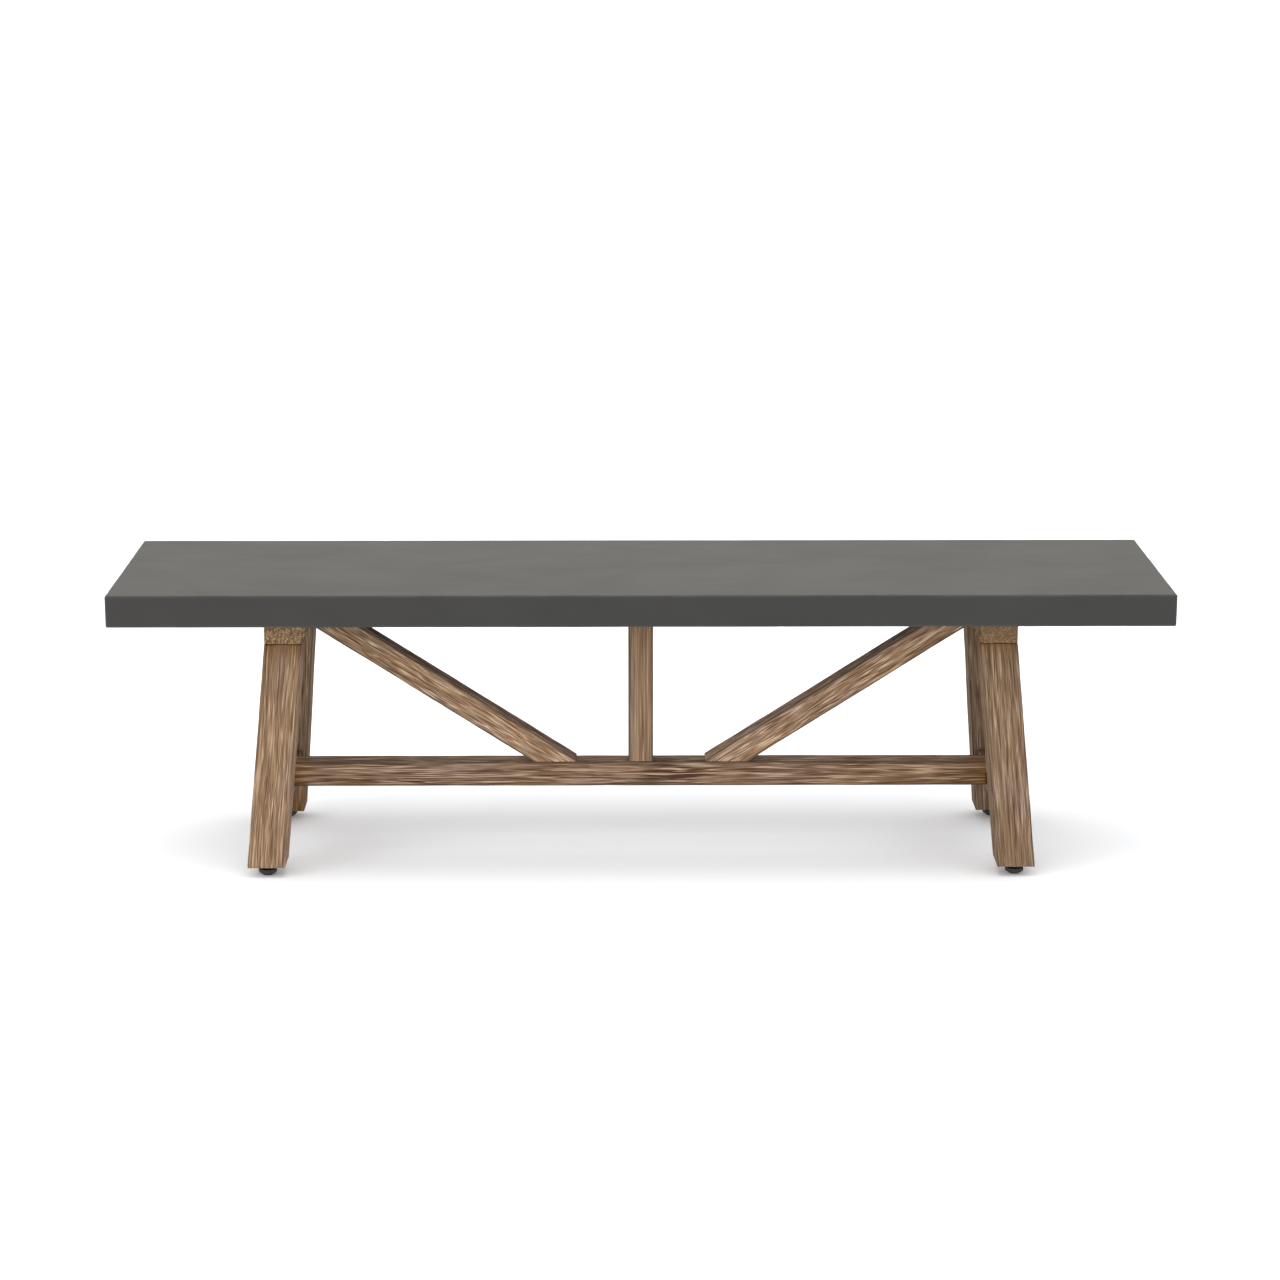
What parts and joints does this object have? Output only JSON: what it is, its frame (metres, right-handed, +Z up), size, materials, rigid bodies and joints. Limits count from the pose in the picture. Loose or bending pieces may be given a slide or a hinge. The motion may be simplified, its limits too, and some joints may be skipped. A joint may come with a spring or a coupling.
{
  "type": "backless bench",
  "caption": "Long backless bench: a dark stone-like slab on splayed brushed-timber trestles with a low stretcher, centre post, diagonal braces and black levelling feet.",
  "frame": {"origin": "on the floor, below the middle of the seat slab", "axes": "+X along the length of the seat, +Y from the front to the back, +Z up"},
  "size_m": [1.6, 0.4, 0.449],
  "materials": {
    "seat_stone": "smooth, matt, dark grey concrete",
    "timber": "wire-brushed and weathered, brown with grey streaks",
    "beech": "plain beech",
    "steel": "zinc-plated",
    "brass": "turned",
    "foot_plastic": "moulded, black"
  },
  "bodies": {
    "frame": {"seat_slab": "seat_stone", "stretcher": "timber", "centre_post": "timber", "post_screw": "steel", "post_pin": "steel", "top_rail_left": "timber", "lower_rail_left": "timber", "brace_left": "timber", "stretcher_bolt_left": "steel", "barrel_nut_left": "steel", "brace_foot_screw_left": "steel", "brace_head_screw_left": "steel", "top_rail_right": "timber", "lower_rail_right": "timber", "brace_right": "timber", "stretcher_bolt_right": "steel", "barrel_nut_right": "steel", "brace_foot_screw_right": "steel", "brace_head_screw_right": "steel", "leg_front_left": "timber", "leg_screw_front_left": "steel", "leg_dowel_front_left": "beech", "rail_tenon_front_left": "beech", "seat_bolt_front_left": "steel", "seat_insert_front_left": "brass", "foot_insert_front_left": "brass", "leg_back_left": "timber", "leg_screw_back_left": "steel", "leg_dowel_back_left": "beech", "rail_tenon_back_left": "beech", "seat_bolt_back_left": "steel", "seat_insert_back_left": "brass", "foot_insert_back_left": "brass", "leg_front_right": "timber", "leg_screw_front_right": "steel", "leg_dowel_front_right": "beech", "rail_tenon_front_right": "beech", "seat_bolt_front_right": "steel", "seat_insert_front_right": "brass", "foot_insert_front_right": "brass", "leg_back_right": "timber", "leg_screw_back_right": "steel", "leg_dowel_back_right": "beech", "rail_tenon_back_right": "beech", "seat_bolt_back_right": "steel", "seat_insert_back_right": "brass", "foot_insert_back_right": "brass"},
    "foot_front_left": {"foot_pad_front_left": "foot_plastic", "foot_stem_front_left": "steel"},
    "foot_back_left": {"foot_pad_back_left": "foot_plastic", "foot_stem_back_left": "steel"},
    "foot_front_right": {"foot_pad_front_right": "foot_plastic", "foot_stem_front_right": "steel"},
    "foot_back_right": {"foot_pad_back_right": "foot_plastic", "foot_stem_back_right": "steel"}
  },
  "joints": [
    {"name": "foot_screw_front_left", "type": "slide", "parent": "frame", "child": "foot_front_left", "axis": [0, 0, -1], "range_m": [0, 0.012]},
    {"name": "foot_screw_back_left", "type": "slide", "parent": "frame", "child": "foot_back_left", "axis": [0, 0, -1], "range_m": [0, 0.012]},
    {"name": "foot_screw_front_right", "type": "slide", "parent": "frame", "child": "foot_front_right", "axis": [0, 0, -1], "range_m": [0, 0.012]},
    {"name": "foot_screw_back_right", "type": "slide", "parent": "frame", "child": "foot_back_right", "axis": [0, 0, -1], "range_m": [0, 0.012]}
  ]
}
